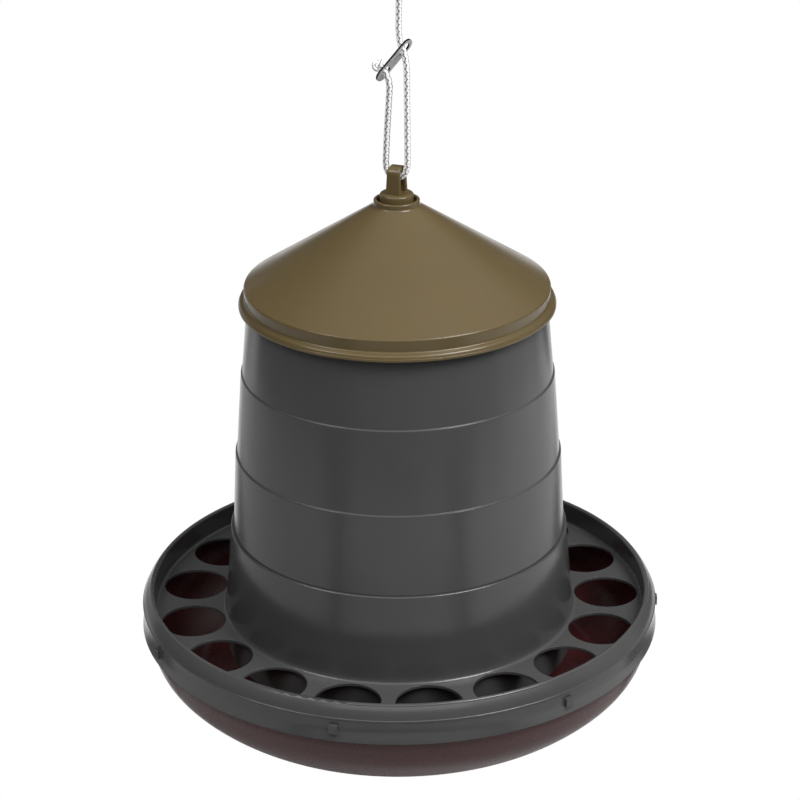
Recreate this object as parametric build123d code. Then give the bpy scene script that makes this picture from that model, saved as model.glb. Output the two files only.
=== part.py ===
from build123d import *
import math
import os

# Hanging poultry feeder: feed pan, grille base, tapered hopper, conical lid,
# hanging eye on a centre rod, and a rope with a two-hole steel adjuster.
# Millimetres, +Z up, origin at the middle of the pan's flat base.

# ---------------------------------------------------------------- driving dimensions
WALL = 2.4                 # moulded wall of base and hopper

PAN_FOOT_R = 163.0         # flat foot of the pan, outer edge
PAN_FOOT_IN_R = 118.0      # inner edge of the flat foot
PAN_WALL = 2.6
PAN_RIM_Z = 64.6           # top edge of the pan, hidden in the skirt
PAN_CONE_TOP_Z = 64.0      # top of the centre cone
PAN_CONE_TOP_R = 13.0

GRILLE_Z = 68.2            # top face of the grille
GRILLE_T = 2.4
HOLE_COUNT = 17
HOLE_PITCH_R = 171.2
HOLE_R = 26.1
HOLE_START_DEG = 150.575   # azimuth of the first hole from +X

THROAT_R = 142.3           # flare foot and throat skirt, outside
THROAT_BOTTOM_Z = 37.0

RIM_TOP_Z = 86.8
SKIRT_BOTTOM_Z = 56.4
STEP_R = 210.6             # edge line round the rim
STEP_Z = 75.3

CLIP_COUNT = 7
CLIP_START_DEG = -103.7    # azimuth of the first clip boss from +X
CLIP_SIZE = 7.0
CLIP_Z = 66.6
CLIP_OUT_R = 212.6

COLLAR_Z = 140.4           # top edge of the collar that takes the hopper
COLLAR_OUT_R = 136.2
COLLAR_IN_R = 134.1
LEDGE_Z = 124.5            # the hopper stands on this ledge

HOPPER_TOP_Z = 342.7
HOPPER_TOP_R = 116.9
STEP1_Z = 274.0
STEP2_Z = 206.2

LID_EDGE_R = 119.9         # edge between cone and wall
LID_EDGE_Z = 345.1
LID_RIM_R = 124.3
LID_RIM_Z = 329.6
LID_T = 2.2
LID_COLLAR_R = 17.9
LID_COLLAR_IN_R = 15.4
LID_COLLAR_Z = 414.7
LID_FLOOR_Z = 409.6        # floor inside the collar, the eye's boss stands on it
LID_HOLE_R = 9.0

BOSS_R = 13.2
BOSS_TOP_Z = 419.6
EYE_TURN_DEG = -22.0       # direction of the eye's hole, from +X
EYE_TOP_Z = 441.1
EYE_DEPTH = 15.0           # across the arch's top, outside
EYE_FOOT_DEPTH = 16.6      # and at its foot
EYE_BAR = 3.5              # thickness of the arch
EYE_WIDTH = 10.0           # along the hole, at the top
EYE_FOOT_WIDTH = 12.2      # and at the foot

ROD_R = 3.0
ROD_TOP_Z = 416.6
ROD_BOTTOM_Z = 51.0
NUT_AF = 10.0
NUT_H = 5.0
WASHER_T = 1.6

ROPE_D = 5.0

PLATE_L = 39.5
PLATE_W = 12.0
PLATE_T = 1.6
PLATE_CENTRE = (-1.3, 0.0, 524.0)
PLATE_ALONG = (0.647, 0.244, 0.722)
PLATE_ACROSS = (0.314, 0.778, -0.544)
SLOT_AT = 11.6             # centre of the long slot, from the plate's middle
SLOT_L = 10.4
SLOT_W = 8.2
ROUND_AT = -10.0           # centre of the round hole
ROUND_R = 4.0

# Route of the rope's middle line, from the stopper knot to the end of the hanging loop.
ROPE = [(-12.9, 1.8, 519.9), (-4.2, -5.4, 514.6), (-8.5, 3.5, 432.0),
        (8.5, -3.5, 432.0), (8.2, 0.2, 526.0), (2.0, 5.2, 537.5), (2.9, 3.4, 590.0), (-4.5, 3.4, 604.5),
        (-13.5, 3.5, 618.5), (-10.5, 3.3, 636.0), (3.2, 3.5, 644.6), (17.0, 3.2, 635.4), (19.6, 3.5, 617.6),
        (12.6, 3.3, 603.0), (6.9, 3.4, 593.5)]
END_KNOT = (-13.6, 1.9, 519.4)
END_KNOT_R = (5.6, 5.4, 5.8)
TOP_KNOT = (3.9, 3.5, 594.5)
TOP_KNOT_R = (8.6, 7.0, 8.4)

os.makedirs("parts", exist_ok=True)


def lathe(*runs):
    """Solid of revolution about Z from runs of (radius, height) points.

    Each run starts where the last one ended. A run named "curve" is one smooth
    line through its points, with a direction at each end where one is given,
    "arc" is a circular arc through three, and "line" is straight between them.
    """
    with BuildPart() as body:
        with BuildSketch(Plane.XZ):
            with BuildLine():
                first = None
                last = None
                for run in runs:
                    kind, points = run[0], list(run[1])
                    if last is not None and points[0] != last:
                        points = [last] + points
                    if first is None:
                        first = points[0]
                    if kind == "curve":
                        Spline(*points, tangents=run[2]) if len(run) > 2 else Spline(*points)
                    elif kind == "arc":
                        ThreePointArc(*points)
                    else:
                        Polyline(*points)
                    last = points[-1]
                if last != first:
                    Line(last, first)
            make_face()
        revolve(axis=Axis.Z)
    return body.part


def turned(angle, radius, height):
    """Place on the circle of this radius, with local X pointing outwards."""
    return Pos(0, 0, height) * Rot(0, 0, angle) * Pos(radius, 0, 0)


# ---------------------------------------------------------------- feed pan
# One moulding: flat foot, bowl wall, rim hidden in the skirt, centre cone.
pan = lathe(
    ("line", [(PAN_FOOT_IN_R, 0.0), (PAN_FOOT_R, 0.0)]),
    ("curve", [(PAN_FOOT_R, 0.0), (170.2, 2.4), (180.2, 9.2), (192.6, 20.4), (201.6, 33.2),
               (205.8, 46.0), (207.0, 57.0)], [(1.0, 0.05), (0.02, 1.0)]),
    ("line", [(207.0, 57.0), (207.0, PAN_RIM_Z), (204.6, PAN_RIM_Z), (204.6, 57.0)]),
    ("curve", [(204.6, 57.0), (203.3, 46.6), (199.2, 34.4), (190.6, 22.2), (178.6, 11.5),
               (169.2, 5.0), (162.0, PAN_WALL)], [(-0.02, -1.0), (-1.0, -0.05)]),
    ("line", [(162.0, PAN_WALL), (112.0, PAN_WALL), (104.0, 3.3), (96.0, 6.6), (17.0, 62.2), (PAN_CONE_TOP_R, PAN_CONE_TOP_Z),
              (ROD_R + 0.2, PAN_CONE_TOP_Z), (ROD_R + 0.2, 60.6), (12.6, 60.6), (15.6, 59.8),
              (94.8, 4.2), (103.4, 0.8), (110.0, 0.0)]),
)
# One snap tongue per clip boss, on the outside of the rim.
for i in range(CLIP_COUNT):
    a = CLIP_START_DEG + 360.0 / CLIP_COUNT * i
    pan += turned(a, 208.9, CLIP_Z - 4.0) * Box(3.4, 4.6, 3.6, align=(Align.MAX, Align.CENTER, Align.CENTER))

# ---------------------------------------------------------------- grille base
# One moulding: collar, flare, grille, raised rim, outer skirt and throat skirt.
base = Rot(0, 0, 34.1) * lathe(
    ("line", [(COLLAR_OUT_R - 0.5, COLLAR_Z), (COLLAR_OUT_R, COLLAR_Z - 0.5)]),
    ("curve", [(COLLAR_OUT_R, COLLAR_Z - 0.5), (137.3, 128.0), (138.9, 110.0), (140.5, 92.0), (141.7, 76.0),
               (142.2, 71.4), (143.3, 69.2), (146.0, GRILLE_Z)], [(0.05, -1.0), (1.0, 0.0)]),
    ("line", [(146.0, GRILLE_Z), (198.2, GRILLE_Z)]),
    ("arc", [(198.2, GRILLE_Z), (199.9, 68.9), (200.6, 70.6)]),
    ("line", [(200.6, 70.6), (200.9, 84.9)]),
    ("arc", [(200.9, 84.9), (202.95, RIM_TOP_Z), (204.9, 85.4)]),
    ("arc", [(204.9, 85.4), (208.0, 81.1), (STEP_R - 0.5, STEP_Z + 0.9)]),
    ("line", [(STEP_R - 0.5, STEP_Z + 0.9), (STEP_R, STEP_Z + 0.4), (STEP_R, STEP_Z - 0.4), (210.1, STEP_Z - 1.0)]),
    ("arc", [(210.1, STEP_Z - 1.0), (209.9, 65.6), (211.3, SKIRT_BOTTOM_Z)]),
    ("line", [(211.3, SKIRT_BOTTOM_Z), (209.2, SKIRT_BOTTOM_Z), (208.1, 60.0), (207.6, 64.0), (207.6, 74.6),
              (206.6, 77.4), (204.8, 81.4), (203.7, 83.4), (203.0, 83.6), (202.9, 71.0), (202.2, 67.4), (200.6, GRILLE_Z - GRILLE_T),
              (THROAT_R, GRILLE_Z - GRILLE_T), (THROAT_R, THROAT_BOTTOM_Z), (THROAT_R - WALL, THROAT_BOTTOM_Z),
              (THROAT_R - WALL, 70.0), (138.1, 92.0), (136.5, 110.0), (135.2, 120.4), (131.2, 121.6), (130.6, 122.3),
              (130.6, LEDGE_Z), (COLLAR_IN_R, LEDGE_Z), (COLLAR_IN_R, COLLAR_Z), (COLLAR_OUT_R - 0.5, COLLAR_Z)]),
)
with BuildPart() as hole_cutter:
    with BuildSketch(Plane.XY.offset(GRILLE_Z - GRILLE_T - 1.0)):
        with PolarLocations(HOLE_PITCH_R, HOLE_COUNT, start_angle=HOLE_START_DEG):
            Circle(HOLE_R)
    extrude(amount=GRILLE_T + 2.0)
base = base - hole_cutter.part
# Square clip bosses on the skirt, each with a blind pocket for a tongue of the pan.
for i in range(CLIP_COUNT):
    a = CLIP_START_DEG + 360.0 / CLIP_COUNT * i
    base += turned(a, CLIP_OUT_R, CLIP_Z) * Box(4.0, CLIP_SIZE, CLIP_SIZE, align=(Align.MAX, Align.CENTER, Align.CENTER))
for i in range(CLIP_COUNT):
    a = CLIP_START_DEG + 360.0 / CLIP_COUNT * i
    base -= turned(a, 209.4, CLIP_Z - 4.0) * Box(4.0, 5.2, 4.4, align=(Align.MAX, Align.CENTER, Align.CENTER))

# ---------------------------------------------------------------- hopper
# Each moulded step stands about 1 mm further out than the wall above it.
hopper = lathe(
    ("line", [(131.4, LEDGE_Z), (COLLAR_IN_R - 0.2, LEDGE_Z), (COLLAR_IN_R - 0.1, COLLAR_Z + 1.0), (130.6, STEP2_Z - 0.6),
              (130.3, STEP2_Z), (129.3, STEP2_Z + 0.5), (124.3, STEP1_Z - 0.6), (124.0, STEP1_Z),
              (123.2, STEP1_Z + 0.5), (HOPPER_TOP_R, HOPPER_TOP_Z - 0.8), (HOPPER_TOP_R - 0.6, HOPPER_TOP_Z),
              (HOPPER_TOP_R - 1.8, HOPPER_TOP_Z), (HOPPER_TOP_R - 2.4, HOPPER_TOP_Z - 0.8),
              (120.8, STEP1_Z + 0.5), (121.6, STEP1_Z - 1.8), (126.9, STEP2_Z + 0.5), (128.0, STEP2_Z - 1.8),
              (131.4, COLLAR_Z + 1.0), (131.4, LEDGE_Z)]),
)

# ---------------------------------------------------------------- lid
lid = lathe(
    ("line", [(LID_COLLAR_IN_R, LID_COLLAR_Z - 0.4), (LID_COLLAR_IN_R + 0.4, LID_COLLAR_Z), (LID_COLLAR_R - 0.5, LID_COLLAR_Z),
              (LID_COLLAR_R, LID_COLLAR_Z - 0.5), (LID_COLLAR_R, 411.4)]),
    ("curve", [(LID_COLLAR_R, 411.4), (18.3, 410.3), (19.6, 409.2)], [(0.0, -1.0), (0.84, -0.54)]),
    ("line", [(19.6, 409.2), (LID_EDGE_R - 1.0, LID_EDGE_Z + 0.6), (LID_EDGE_R - 0.3, LID_EDGE_Z), (LID_EDGE_R, LID_EDGE_Z - 0.8),
              (119.7, 336.8)]),
    ("curve", [(119.7, 336.8), (120.0, 335.7), (121.0, 335.0), (122.4, 334.5), (123.6, 333.4), (LID_RIM_R, 331.6),
               (LID_RIM_R, LID_RIM_Z)], [(0.0, -1.0), (0.0, -1.0)]),
    ("line", [(LID_RIM_R, LID_RIM_Z), (LID_RIM_R - 1.8, LID_RIM_Z), (LID_RIM_R - 1.9, 331.4), (121.6, 332.4), (119.4, 333.0),
              (118.0, 334.2), (117.8, HOPPER_TOP_Z - 0.5), (117.2, HOPPER_TOP_Z), (113.8, HOPPER_TOP_Z),
              (111.2, HOPPER_TOP_Z + 4.2), (21.0, 405.6), (17.6, LID_FLOOR_Z - LID_T), (LID_HOLE_R, LID_FLOOR_Z - LID_T),
              (LID_HOLE_R, LID_FLOOR_Z), (LID_COLLAR_IN_R, LID_FLOOR_Z), (LID_COLLAR_IN_R, LID_COLLAR_Z - 0.4)]),
)

# ---------------------------------------------------------------- hanging eye
# A round boss that stands in the lid's collar, with a thick arch on it.
boss = lathe(("line", [(ROD_R, LID_FLOOR_Z), (BOSS_R, LID_FLOOR_Z), (BOSS_R, BOSS_TOP_Z - 1.8)]),
             ("curve", [(BOSS_R, BOSS_TOP_Z - 1.8), (BOSS_R - 0.5, BOSS_TOP_Z - 0.5), (BOSS_R - 1.8, BOSS_TOP_Z)],
              [(0.0, 1.0), (-1.0, 0.0)]),
             ("line", [(BOSS_R - 1.8, BOSS_TOP_Z), (0.0, BOSS_TOP_Z), (0.0, ROD_TOP_Z), (ROD_R, ROD_TOP_Z), (ROD_R, LID_FLOOR_Z)]))


def tapered(foot, top, low, high):
    return Polygon((-foot / 2, low), (foot / 2, low), (top / 2, high), (-top / 2, high), align=None)


outline = tapered(EYE_FOOT_DEPTH, EYE_DEPTH, BOSS_TOP_Z - 0.5, EYE_TOP_Z)
outline = fillet(outline.vertices().group_by(Axis.Y)[-1], 5.8)
opening = tapered(EYE_FOOT_DEPTH - 2 * EYE_BAR, EYE_DEPTH - 2 * EYE_BAR, BOSS_TOP_Z, EYE_TOP_Z - EYE_BAR)
opening = fillet(opening.vertices().group_by(Axis.Y)[-1], 3.0)
arch = extrude(Plane.YZ * (outline - opening), amount=EYE_FOOT_WIDTH, both=True)
arch &= extrude(Plane.XZ * tapered(EYE_FOOT_WIDTH, EYE_WIDTH, BOSS_TOP_Z - 0.5, EYE_TOP_Z), amount=EYE_FOOT_DEPTH, both=True)
cheeks = [f for f in arch.faces() if abs(f.normal_at().X) > 0.9]
arch = fillet([e for f in cheeks for e in f.edges() if e.center().Z > BOSS_TOP_Z + 1.0], 1.1)
eye = boss + Rot(0, 0, EYE_TURN_DEG) * arch

# ---------------------------------------------------------------- centre rod and its hardware
rod = Pos(0, 0, ROD_BOTTOM_Z) * Cylinder(ROD_R, ROD_TOP_Z - ROD_BOTTOM_Z, align=(Align.CENTER, Align.CENTER, Align.MIN))
rod = chamfer(rod.edges().group_by(Axis.Z)[0], 0.6)


def hex_nut(bottom):
    nut = extrude(Pos(0, 0, bottom) * (RegularPolygon(NUT_AF / 2, 6, major_radius=False) - Circle(ROD_R)), amount=NUT_H)
    return nut


def washer(bottom, outer):
    return extrude(Pos(0, 0, bottom) * (Circle(outer) - Circle(ROD_R)), amount=WASHER_T)


top_nut = hex_nut(LID_FLOOR_Z - NUT_H)
pan_washer = washer(60.6 - WASHER_T, 9.0)
pan_nut = hex_nut(60.6 - WASHER_T - NUT_H)

# ---------------------------------------------------------------- rope adjuster
plate_plane = Plane(origin=PLATE_CENTRE, x_dir=PLATE_ALONG, z_dir=Vector(*PLATE_ALONG).cross(Vector(*PLATE_ACROSS)))
flat = SlotOverall(PLATE_L, PLATE_W) - Pos(SLOT_AT, 0) * SlotOverall(SLOT_L, SLOT_W) - Pos(ROUND_AT, 0) * Circle(ROUND_R)
plate = extrude(flat, amount=PLATE_T / 2, both=True)
plate = plate_plane * plate

# ---------------------------------------------------------------- rope
# From the stopper knot through the round hole, down, through the eye, up,
# through the slot, up to the knot of the hanging loop, and round the loop.
radii = []
for before, here, after in zip(ROPE, ROPE[1:], ROPE[2:]):
    a = Vector(*here) - Vector(*before)
    b = Vector(*after) - Vector(*here)
    half = math.radians(a.get_angle(b)) / 2
    radii.append(0.45 * min(a.length, b.length) / math.tan(half))
route = FilletPolyline(*ROPE, radius=radii)
rope = sweep(Plane(origin=route @ 0, z_dir=route % 0) * Circle(ROPE_D / 2), path=route)
print("rope radii", [round(r, 1) for r in radii])
print("rope length", round(route.length, 1), "section x length", round(route.length * math.pi * ROPE_D ** 2 / 4, 1),
      "volume", round(rope.volume, 1), "runs", [round((Vector(*q) - Vector(*p)).length, 1) for p, q in zip(ROPE, ROPE[1:])])

end_knot = Pos(*END_KNOT) * scale(Sphere(1.0), by=END_KNOT_R)
top_knot = Pos(*TOP_KNOT) * scale(Sphere(1.0), by=TOP_KNOT_R)

nodes = {
    "feed_pan": pan,
    "feeder_base": base,
    "hopper": hopper,
    "lid": lid,
    "hanging_eye": eye,
    "centre_rod": rod,
    "rod_top_nut": top_nut,
    "rod_washer": pan_washer,
    "rod_nut": pan_nut,
    "rope_adjuster": plate,
    "rope": rope,
    "rope_end_knot": end_knot,
    "rope_top_knot": top_knot,
}
for name, shape in nodes.items():
    export_step(shape, "parts/%s.step" % name)
    box = shape.bounding_box()
    print(name, "solids", len(shape.solids()), "volume cm3", round(shape.volume / 1000, 2), "z", round(box.min.Z, 1), round(box.max.Z, 1), "valid", shape.is_valid)
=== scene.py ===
import math
import bpy
import bmesh
from mathutils import Vector, Matrix, Quaternion, noise


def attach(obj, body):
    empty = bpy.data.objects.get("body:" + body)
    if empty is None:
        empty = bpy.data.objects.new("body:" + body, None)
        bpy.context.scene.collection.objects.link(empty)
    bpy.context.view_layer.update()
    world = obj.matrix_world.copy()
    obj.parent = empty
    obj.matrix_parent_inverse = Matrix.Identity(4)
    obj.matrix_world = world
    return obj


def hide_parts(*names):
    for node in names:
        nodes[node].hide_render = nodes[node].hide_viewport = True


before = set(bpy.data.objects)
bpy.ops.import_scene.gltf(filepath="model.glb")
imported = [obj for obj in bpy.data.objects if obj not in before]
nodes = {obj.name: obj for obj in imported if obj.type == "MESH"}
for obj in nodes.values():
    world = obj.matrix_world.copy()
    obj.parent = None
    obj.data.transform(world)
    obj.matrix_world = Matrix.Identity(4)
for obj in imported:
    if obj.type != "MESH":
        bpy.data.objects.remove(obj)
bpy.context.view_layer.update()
scene = bpy.context.scene
coll = scene.collection

MM = 0.001

# ------------------------------------------------------------------ camera
ELEV = math.radians(23.5026)
ROLL = math.radians(0.3491)
DIST = 1.90027
TARGET = Vector((0.00162, 0.0, 0.24573))
fwd = Vector((0.0, math.cos(ELEV), -math.sin(ELEV)))
up = Vector((0.0, math.sin(ELEV), math.cos(ELEV)))
right = Vector((1.0, 0.0, 0.0))
cam_x = right * math.cos(ROLL) - up * math.sin(ROLL)
cam_y = right * math.sin(ROLL) + up * math.cos(ROLL)
cam_z = -fwd
cam_data = bpy.data.cameras.new("camera")
cam = bpy.data.objects.new("camera", cam_data)
coll.objects.link(cam)
cam_data.sensor_width = 36.0
cam_data.lens = 107.271
place = TARGET - fwd * DIST
cam.matrix_world = Matrix((
    (cam_x.x, cam_y.x, cam_z.x, place.x),
    (cam_x.y, cam_y.y, cam_z.y, place.y),
    (cam_x.z, cam_y.z, cam_z.z, place.z),
    (0.0, 0.0, 0.0, 1.0)))
cam_data.clip_start, cam_data.clip_end = 0.05, 60.0
scene.camera = cam


# ------------------------------------------------------------------ helpers
def new_object(name, mesh):
    obj = bpy.data.objects.new(name, mesh)
    coll.objects.link(obj)
    return obj


def mesh_from(name, verts, faces, smooth=True):
    mesh = bpy.data.meshes.new(name)
    mesh.from_pydata([tuple(v) for v in verts], [], faces)
    mesh.validate()
    for p in mesh.polygons:
        p.use_smooth = smooth
    mesh.update()
    return mesh


class Nodes:
    """Small helper round one material's node tree."""

    def __init__(self, name):
        self.mat = bpy.data.materials.new(name)
        self.mat.use_nodes = True
        self.tree = self.mat.node_tree
        self.tree.nodes.clear()
        self.out = self.add("ShaderNodeOutputMaterial")
        self.bsdf = self.add("ShaderNodeBsdfPrincipled")
        self.link(self.bsdf, "BSDF", self.out, "Surface")

    def add(self, kind, **values):
        n = self.tree.nodes.new(kind)
        for k, v in values.items():
            setattr(n, k, v)
        return n

    def link(self, a, out, b, inp):
        self.tree.links.new(a.outputs[out], b.inputs[inp])

    def coords(self, scale=(1, 1, 1)):
        c = self.add("ShaderNodeTexCoord")
        m = self.add("ShaderNodeMapping")
        m.inputs["Scale"].default_value = scale
        self.link(c, "Object", m, "Vector")
        return m

    def noise(self, scale, detail=3.0, rough=0.5, stretch=(1, 1, 1)):
        n = self.add("ShaderNodeTexNoise")
        n.inputs["Scale"].default_value = scale
        n.inputs["Detail"].default_value = detail
        n.inputs["Roughness"].default_value = rough
        self.link(self.coords(stretch), "Vector", n, "Vector")
        return n

    def ramp(self, src, out, stops):
        r = self.add("ShaderNodeValToRGB")
        el = r.color_ramp.elements
        while len(el) < len(stops):
            el.new(0.5)
        for e, (pos, col) in zip(el, stops):
            e.position = pos
            e.color = col if len(col) == 4 else (*col, 1.0)
        self.link(src, out, r, "Fac")
        return r

    def rng(self, src, out, lo, hi, to_lo, to_hi):
        m = self.add("ShaderNodeMapRange")
        m.inputs["From Min"].default_value = lo
        m.inputs["From Max"].default_value = hi
        m.inputs["To Min"].default_value = to_lo
        m.inputs["To Max"].default_value = to_hi
        self.link(src, out, m, "Value")
        return m

    def bump(self, src, out, strength, distance, after=None):
        b = self.add("ShaderNodeBump")
        b.inputs["Strength"].default_value = strength
        b.inputs["Distance"].default_value = distance
        self.link(src, out, b, "Height")
        if after is not None:
            self.link(after, "Normal", b, "Normal")
        return b


def moulded(name, dark, light, rough_lo, rough_hi, sink=0.10):
    """Injection-moulded plastic: cloudy colour, fine satin grain, uneven gloss, a shallow sink wave."""
    n = Nodes(name)
    cloud = n.noise(11.0, 3.0, 0.55)
    col = n.ramp(cloud, "Fac", [(0.30, dark), (0.72, light)])
    n.link(col, "Color", n.bsdf, "Base Color")
    gloss = n.noise(38.0, 4.0, 0.6)
    r = n.rng(gloss, "Fac", 0.3, 0.7, rough_lo, rough_hi)
    n.link(r, "Result", n.bsdf, "Roughness")
    grain = n.noise(1500.0, 2.0, 0.5)
    edge = n.add("ShaderNodeBevel", samples=8)
    edge.inputs["Radius"].default_value = 0.0006
    b1 = n.bump(grain, "Fac", 0.10, 0.00005, edge)
    wave = n.noise(16.0, 1.0, 0.4)
    b2 = n.bump(wave, "Fac", sink, 0.00025, b1)
    n.link(b2, "Normal", n.bsdf, "Normal")
    return n.mat


mat_grey = moulded("grey_plastic", (0.065, 0.065, 0.0655), (0.071, 0.071, 0.0715), 0.17, 0.23)
mat_khaki = moulded("khaki_plastic", (0.108, 0.0775, 0.0312), (0.117, 0.0838, 0.0339), 0.19, 0.26)
mat_maroon = moulded("maroon_plastic", (0.062, 0.0122, 0.0132), (0.066, 0.013, 0.014), 0.25, 0.29, 0.03)


def metal(name, colour, rough_lo, rough_hi, face=None):
    """Dull zinc; with a face normal given, the sheet's edges are painted near-black as painted shade."""
    n = Nodes(name)
    n.bsdf.inputs["Metallic"].default_value = 0.9
    cloud = n.noise(160.0, 4.0, 0.6)
    lo = tuple(c * 0.8 for c in colour)
    col = n.ramp(cloud, "Fac", [(0.3, lo), (0.7, colour)])
    if face is None:
        n.link(col, "Color", n.bsdf, "Base Color")
    else:
        # painted shade: faces turned away from the sheet's face normal, its edges, are coloured near-black
        geo = n.add("ShaderNodeNewGeometry")
        dot = n.add("ShaderNodeVectorMath", operation="DOT_PRODUCT")
        dot.inputs[1].default_value = face
        n.link(geo, "True Normal", dot, 0)
        side = n.add("ShaderNodeMath", operation="ABSOLUTE")
        n.link(dot, "Value", side, 0)
        flat = n.rng(side, "Value", 0.55, 0.75, 0.0, 1.0)
        mix = n.add("ShaderNodeMixRGB")
        mix.inputs["Color1"].default_value = (0.012, 0.012, 0.013, 1.0)
        n.link(flat, "Result", mix, "Fac")
        n.link(col, "Color", mix, "Color2")
        n.link(mix, "Color", n.bsdf, "Base Color")
    scr = n.noise(900.0, 3.0, 0.6, (1, 0.15, 1))
    n.link(n.rng(scr, "Fac", 0.3, 0.7, rough_lo, rough_hi), "Result", n.bsdf, "Roughness")
    n.link(n.bump(scr, "Fac", 0.15, 0.0002), "Normal", n.bsdf, "Normal")
    return n.mat


mat_steel = metal("zinc_steel", (0.42, 0.42, 0.43), 0.30, 0.48)
mat_plate = metal("zinc_plate", (0.72, 0.72, 0.74), 0.40, 0.55, (-0.6944, 0.5787, 0.4268))


def rope_material():
    """Bright white braid with painted shade: its colour falls off to near-black in the grooves between its strands.
    """
    n = Nodes("white_rope")
    fibre = n.noise(2600.0, 3.0, 0.6, (1, 1, 0.2))
    col = n.ramp(fibre, "Fac", [(0.25, (0.84, 0.84, 0.83)), (0.6, (0.96, 0.96, 0.95))])
    groove_shade_attr = n.add("ShaderNodeAttribute", attribute_name="groove_shade")
    groove_shade_fac = n.rng(groove_shade_attr, "Fac", 0.0, 1.0, 0.0, 1.0)
    mix = n.add("ShaderNodeMixRGB")
    # painted shade: the near-black colour the grooves are painted with
    mix.inputs["Color1"].default_value = (0.075, 0.075, 0.08, 1.0)
    n.link(groove_shade_fac, "Result", mix, "Fac")
    n.link(col, "Color", mix, "Color2")
    n.link(mix, "Color", n.bsdf, "Base Color")
    # painted glow: the rope gives off light in its own colour, with the near-black grooves glowing least
    n.link(mix, "Color", n.bsdf, "Emission Color")
    n.bsdf.inputs["Emission Strength"].default_value = 0.16
    n.bsdf.inputs["Roughness"].default_value = 0.6
    n.bsdf.inputs["Sheen Weight"].default_value = 0.25
    n.link(n.bump(fibre, "Fac", 0.3, 0.0002), "Normal", n.bsdf, "Normal")
    return n.mat


mat_rope = rope_material()


def paint(obj, mat):
    mesh = obj.data
    if not mesh.materials:
        mesh.materials.append(mat)
    for i in range(len(obj.material_slots)):
        obj.material_slots[i].material = mat


for name in ("feeder_base", "hopper"):
    paint(nodes[name], mat_grey)
paint(nodes["feed_pan"], mat_maroon)
for name in ("lid", "hanging_eye"):
    paint(nodes[name], mat_khaki)
for name in ("centre_rod", "rod_top_nut", "rod_washer", "rod_nut"):
    paint(nodes[name], mat_steel)
paint(nodes["rope_adjuster"], mat_plate)

# ------------------------------------------------------------------ rope
ROPE_D = 5.0 * MM
# The rope's route: stopper knot, round hole, down, through the eye, up, slot, up, hanging loop.
ROUTE = [(-12.9, 1.8, 519.9), (-4.2, -5.4, 514.6), (-5.6, -2.4, 490.0), (-7.6, 1.6, 458.0), (-8.5, 3.5, 432.0),
         (8.5, -3.5, 432.0), (8.4, -2.5, 460.0), (8.3, -0.9, 496.0), (8.2, 0.2, 526.0), (2.0, 5.2, 537.5), (2.5, 4.3, 565.0),
         (2.9, 3.4, 590.0), (-4.5, 3.4, 604.5),
         (-13.5, 3.5, 618.5), (-10.5, 3.3, 636.0), (3.2, 3.5, 644.6), (17.0, 3.2, 635.4), (19.6, 3.5, 617.6),
         (12.6, 3.3, 603.0), (6.9, 3.4, 593.5)]


def nurbs(name, points, res=24):
    data = bpy.data.curves.new(name, "CURVE")
    data.dimensions = "3D"
    data.resolution_u = res
    spline = data.splines.new("NURBS")
    spline.points.add(len(points) - 1)
    for p, co in zip(spline.points, points):
        p.co = (co[0] * MM, co[1] * MM, co[2] * MM, 1.0)
    spline.order_u = 3
    spline.use_endpoint_u = True
    obj = bpy.data.objects.new(name, data)
    coll.objects.link(obj)
    return obj


def line_of(curve):
    """Points along the curve's own line."""
    dg = bpy.context.evaluated_depsgraph_get()
    mesh = bpy.data.meshes.new_from_object(curve.evaluated_get(dg))
    pts = [v.co.copy() for v in mesh.vertices]
    bpy.data.meshes.remove(mesh)
    return pts


def even(points, step):
    """The same line at even steps."""
    d = [0.0]
    for a, b in zip(points, points[1:]):
        d.append(d[-1] + (b - a).length)
    n = max(2, int(round(d[-1] / step)))
    out, j = [], 0
    for i in range(n + 1):
        s = d[-1] * i / n
        while j < len(d) - 2 and d[j + 1] < s:
            j += 1
        t = 0.0 if d[j + 1] == d[j] else (s - d[j]) / (d[j + 1] - d[j])
        out.append(points[j].lerp(points[j + 1], min(max(t, 0.0), 1.0)))
    return out, d[-1]


def frames(points):
    """Tangent and two sides at each point, turned as little as possible."""
    n = len(points)
    tan = []
    for i in range(n):
        a, b = points[max(i - 1, 0)], points[min(i + 1, n - 1)]
        tan.append((b - a).normalized())
    side = tan[0].orthogonal().normalized()
    out = []
    for i in range(n):
        if i:
            q = tan[i - 1].rotation_difference(tan[i])
            side = (q @ side)
            side = (side - tan[i] * side.dot(tan[i])).normalized()
        out.append((tan[i], side, tan[i].cross(side)))
    return out


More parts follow.
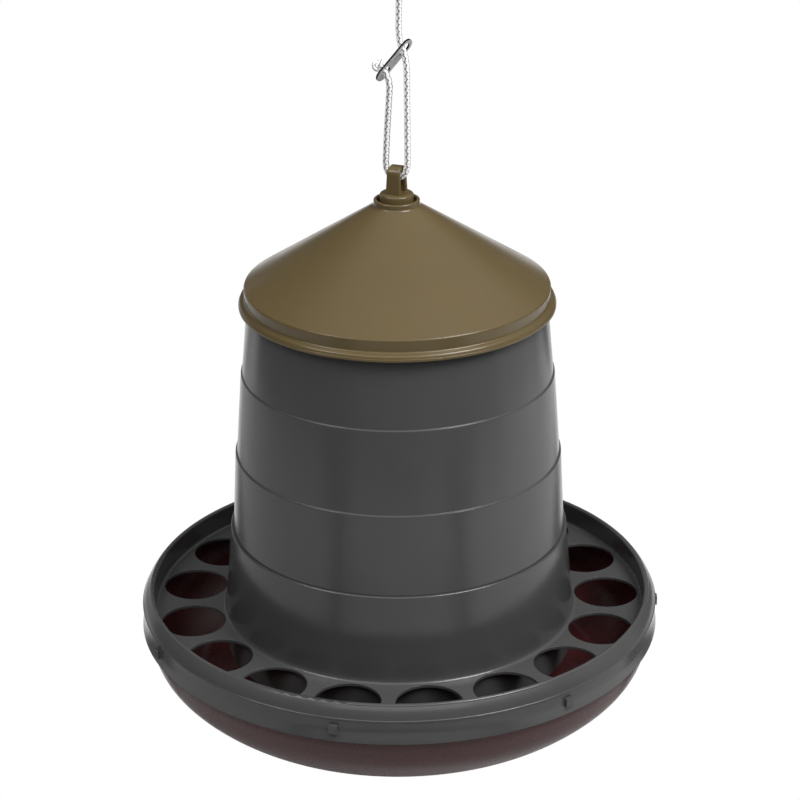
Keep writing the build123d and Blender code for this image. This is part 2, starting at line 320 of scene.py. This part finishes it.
def braid(name, points, radius, strands=8, pitch=0.021, tube=0.00108, flat=0.50, ring=8, start=0.0):
    """Round braid: half the strands turn one way, half the other, each passing over and under."""
    fr = frames(points)
    step = (points[1] - points[0]).length
    verts, faces, groove_shade = [], [], []
    half = strands // 2
    for k in range(strands):
        way = 1.0 if k < half else -1.0
        base = 2 * math.pi * (k % half) / half + (0.0 if k < half else math.pi / half)
        rows = []
        for i, p in enumerate(points):
            t, u, v = fr[i]
            s = i * step + start
            ang = base + way * 2 * math.pi * s / pitch
            weave = math.cos(strands / 2 * 2 * math.pi * s / pitch * 1.0 + (0.0 if way > 0 else math.pi))
            rad = radius - tube * flat - 0.00018 + weave * 0.00034
            out = u * math.cos(ang) + v * math.sin(ang)
            c = p + out * rad
            along = (t * (pitch / (2 * math.pi * rad)) + way * (v * math.cos(ang) - u * math.sin(ang))).normalized()
            across = along.cross(out).normalized()
            row = []
            for j in range(ring):
                b = 2 * math.pi * j / ring
                row.append(len(verts))
                verts.append(c + across * (math.cos(b) * tube * 1.15) + out * (math.sin(b) * tube * flat))
                # painted shade: the value falls off into the grooves and where the strand dips under another
                groove_shade.append(min(1.0, max(0.0, math.sin(b) * 1.35)) * (0.30 + 0.70 * min(1.0, max(0.0, 0.5 + weave))))
            rows.append(row)
        for a, b in zip(rows, rows[1:]):
            for j in range(ring):
                q = (j + 1) % ring
                faces.append((a[j], a[q], b[q], b[j]))
        faces.append(tuple(reversed(rows[0])))
        faces.append(tuple(rows[-1]))
    return verts, faces, groove_shade


def set_groove_shade(mesh, values, default=0.1):
    """Painted shade on the rope: 1 on a strand's back, 0 in a groove, less where a strand dips under; vertices
    without a value get the dark default.
    """
    att = mesh.attributes.new("groove_shade", "FLOAT", "POINT")
    att.data.foreach_set("value", list(values) + [default] * (len(mesh.vertices) - len(values)))


route = nurbs("rope_route", ROUTE)
raw = line_of(route)
line, rope_len = even(raw, 0.0009)
bpy.data.objects.remove(route)
verts, faces, groove_shade = braid("rope_braid", line, ROPE_D / 2)
# the core that the strands lie on; its vertices take the dark default, painted shade seen between the strands
core_line, _ = even(raw, 0.003)
cf = frames(core_line)
first = len(verts)
for p, (t, u, v) in zip(core_line, cf):
    for j in range(10):
        b = 2 * math.pi * j / 10
        verts.append(p + (u * math.cos(b) + v * math.sin(b)) * 0.00135)
for i in range(len(core_line) - 1):
    for j in range(10):
        q = (j + 1) % 10
        a, b = first + i * 10, first + (i + 1) * 10
        faces.append((a + j, a + q, b + q, b + j))
faces.append(tuple(reversed(range(first, first + 10))))
faces.append(tuple(range(len(verts) - 10, len(verts))))
rope = new_object("rope_braided", mesh_from("rope_braided", verts, faces))
rope.data.materials.append(mat_rope)
set_groove_shade(rope.data, groove_shade)
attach(rope, "root")
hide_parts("rope")
print("rope length along its line", round(rope_len, 4), "faces", len(faces))


# ------------------------------------------------------------------ knots
def rope_piece(name, points, radius, replaced, pitch=0.021):
    c = nurbs(name + "_route", points, 16)
    ln, _ = even(line_of(c), 0.0009)
    bpy.data.objects.remove(c)
    v, f, groove_shade = braid(name, ln, radius, pitch=pitch)
    cl, _ = even(ln, 0.002)
    fr = frames(cl)
    # the knot's core, which takes the dark default: painted shade between the strands
    first = len(v)
    for p, (t, u, w) in zip(cl, fr):
        for j in range(8):
            b = 2 * math.pi * j / 8
            v.append(p + (u * math.cos(b) + w * math.sin(b)) * radius * 0.6)
    for i in range(len(cl) - 1):
        for j in range(8):
            q = (j + 1) % 8
            a, b = first + i * 8, first + (i + 1) * 8
            f.append((a + j, a + q, b + q, b + j))
    f.append(tuple(reversed(range(first, first + 8))))
    f.append(tuple(range(len(v) - 8, len(v))))
    o = new_object(name, mesh_from(name, v, f))
    o.data.materials.append(mat_rope)
    set_groove_shade(o.data, groove_shade)
    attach(o, "root")
    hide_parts(replaced)
    return o


def knot_points(centre, size, axis, spin=0.0):
    """A tight overhand ball: the trefoil's line, squashed round its middle."""
    out = []
    axis = Vector(axis).normalized()
    side = axis.orthogonal().normalized()
    other = axis.cross(side)
    n = 26
    for i in range(n):
        t = 2 * math.pi * (i / (n - 1)) * 0.985 + spin
        x = math.sin(t) + 2 * math.sin(2 * t)
        y = math.cos(t) - 2 * math.cos(2 * t)
        z = -math.sin(3 * t)
        p = side * (x * size / 3.0) + other * (y * size / 3.0) + axis * (z * size * 0.42)
        out.append((centre[0] + p.x, centre[1] + p.y, centre[2] + p.z))
    return out


end_knot = rope_piece("rope_stopper_knot", knot_points((-13.4, 1.9, 519.2), 3.6, (-0.694, 0.579, 0.427), 0.4), ROPE_D * 0.42, "rope_end_knot")
top_knot = rope_piece("rope_loop_knot", knot_points((3.9, 3.5, 594.5), 5.0, (0.2, 0.1, 1.0), 0.9), ROPE_D * 0.46, "rope_top_knot")
[tuple(p) for p in even(raw, 0.002)[0]]


# ------------------------------------------------------------------ floor and light
def area(name, loc, aim, size, size_y, radiance, colour=(1, 1, 1)):
    """Softbox of an even radiance, facing a point."""
    d = bpy.data.lights.new(name, "AREA")
    d.energy = radiance * math.pi * size * size_y
    d.color = colour
    d.shape = "RECTANGLE"
    d.size = size
    d.size_y = size_y
    o = bpy.data.objects.new(name, d)
    coll.objects.link(o)
    o.location = loc
    o.rotation_mode = "QUATERNION"
    o.rotation_quaternion = (Vector(aim) - Vector(loc)).to_track_quat("-Z", "Y")
    return o


# A plain pale table under the hanging feeder, and a low reflector board on each side of it.
def pale(name, colour, glow):
    n = Nodes(name)
    n.bsdf.inputs["Base Color"].default_value = (colour, colour, colour, 1.0)
    n.bsdf.inputs["Roughness"].default_value = 0.9
    n.bsdf.inputs["Specular IOR Level"].default_value = 0.0
    n.bsdf.inputs["Emission Color"].default_value = (1.0, 1.0, 1.0, 1.0)
    n.bsdf.inputs["Emission Strength"].default_value = glow
    return n


TABLE = [(-0.85, -0.75), (0.85, -0.75), (0.85, 0.215), (-0.85, 0.215)]
RIGHT = [(0.84, -1.00), (1.55, -0.98), (1.82, -0.50), (1.98, 0.10), (1.84, 0.62), (1.50, 1.30), (0.72, 1.30), (0.86, 0.30)]
LEFT = [(-0.86, 0.30), (-0.72, 1.30), (-1.50, 1.30), (-1.74, 0.62), (-1.86, 0.00), (-1.78, -0.52), (-1.57, -1.02), (-0.84, -1.02)]
FRONT = [(-0.82, -1.60), (0.82, -1.60), (0.82, -1.00), (-0.82, -1.00)]
outline = TABLE + RIGHT + LEFT + FRONT
floor = new_object("floor", mesh_from("floor", [(x, y, -0.28) for x, y in outline],
                                      [tuple(range(4)), tuple(range(4, 12)), tuple(range(12, 20)), tuple(range(20, 24))], False))
nf, nr, nl = pale("pale_floor", 0.55, 0.0), pale("pale_board_right", 0.3, 0.64), pale("pale_board_left", 0.3, 0.37)
ne = pale("pale_table_edge", 0.3, 0.37)
for i, n in enumerate((nf, nr, nl, ne)):
    floor.data.materials.append(n.mat)
    floor.data.polygons[i].material_index = i

# Studio room: dim all round, with a lighter ceiling, and a white wall low behind the feeder.
# Seen straight, its walls are white on every side.
world = bpy.data.worlds.new("studio")
scene.world = world
world.use_nodes = True
wt = world.node_tree
bg = wt.nodes["Background"]
bg.inputs["Color"].default_value = (1.0, 1.0, 1.0, 1.0)
bg.inputs["Strength"].default_value = 0.10
wall = wt.nodes.new("ShaderNodeBackground")
wall.inputs["Color"].default_value = (1.0, 1.0, 1.0, 1.0)
wall.inputs["Strength"].default_value = 1.0
direction = wt.nodes.new("ShaderNodeTexCoord")
dot = wt.nodes.new("ShaderNodeVectorMath")
dot.operation = "DOT_PRODUCT"
dot.inputs[1].default_value = (0.0, math.cos(ELEV), -math.sin(ELEV))
near = wt.nodes.new("ShaderNodeMapRange")
near.interpolation_type = "SMOOTHSTEP"
near.inputs["From Min"].default_value = math.cos(math.radians(32.0))
near.inputs["From Max"].default_value = math.cos(math.radians(14.5))
mix = wt.nodes.new("ShaderNodeMixShader")
height = wt.nodes.new("ShaderNodeVectorMath")
height.operation = "DOT_PRODUCT"
height.inputs[1].default_value = (0.25, 0.0, 0.968)
sky = wt.nodes.new("ShaderNodeMapRange")
sky.interpolation_type = "SMOOTHSTEP"
sky.inputs["From Min"].default_value = 0.45
sky.inputs["From Max"].default_value = 0.90
sky.inputs["To Min"].default_value = 0.10
sky.inputs["To Max"].default_value = 0.60
wt.links.new(direction.outputs["Generated"], height.inputs[0])
wt.links.new(height.outputs["Value"], sky.inputs["Value"])
wt.links.new(sky.outputs["Result"], bg.inputs["Strength"])
wt.links.new(direction.outputs["Generated"], dot.inputs[0])
wt.links.new(dot.outputs["Value"], near.inputs["Value"])
seen = wt.nodes.new("ShaderNodeLightPath")
white = wt.nodes.new("ShaderNodeMath")
white.operation = "MAXIMUM"
wt.links.new(near.outputs["Result"], white.inputs[0])
wt.links.new(seen.outputs["Is Camera Ray"], white.inputs[1])
wt.links.new(white.outputs["Value"], mix.inputs["Fac"])
wt.links.new(bg.outputs["Background"], mix.inputs[1])
wt.links.new(wall.outputs["Background"], mix.inputs[2])
wt.links.new(mix.outputs["Shader"], wt.nodes["World Output"].inputs["Surface"])


def round_the(azimuth, elevation, distance, height=0.2):
    """A place that far from the feeder; azimuth 0 is in front of it and 90 on its right."""
    a, e = math.radians(azimuth), math.radians(elevation)
    return (distance * math.cos(e) * math.sin(a), -distance * math.cos(e) * math.cos(a), height + distance * math.sin(e))


area("key_left", round_the(-62, 48, 1.9), (0, 0, 0.2), 0.7, 0.8, 4.8)
area("key_right", round_the(56, 52, 1.9), (0, 0, 0.2), 0.85, 0.9, 11.2)
area("front", round_the(0, 50, 2.0), (0, 0, 0.2), 2.0, 1.2, 1.4)
area("side_right", round_the(95, 2, 1.4), (0, 0, 0.2), 1.0, 1.0, 0.24)
area("back_left", round_the(-138, 0, 1.7), (0, 0, 0.2), 0.9, 1.0, 0.33)
scene.view_settings.view_transform = "Standard"
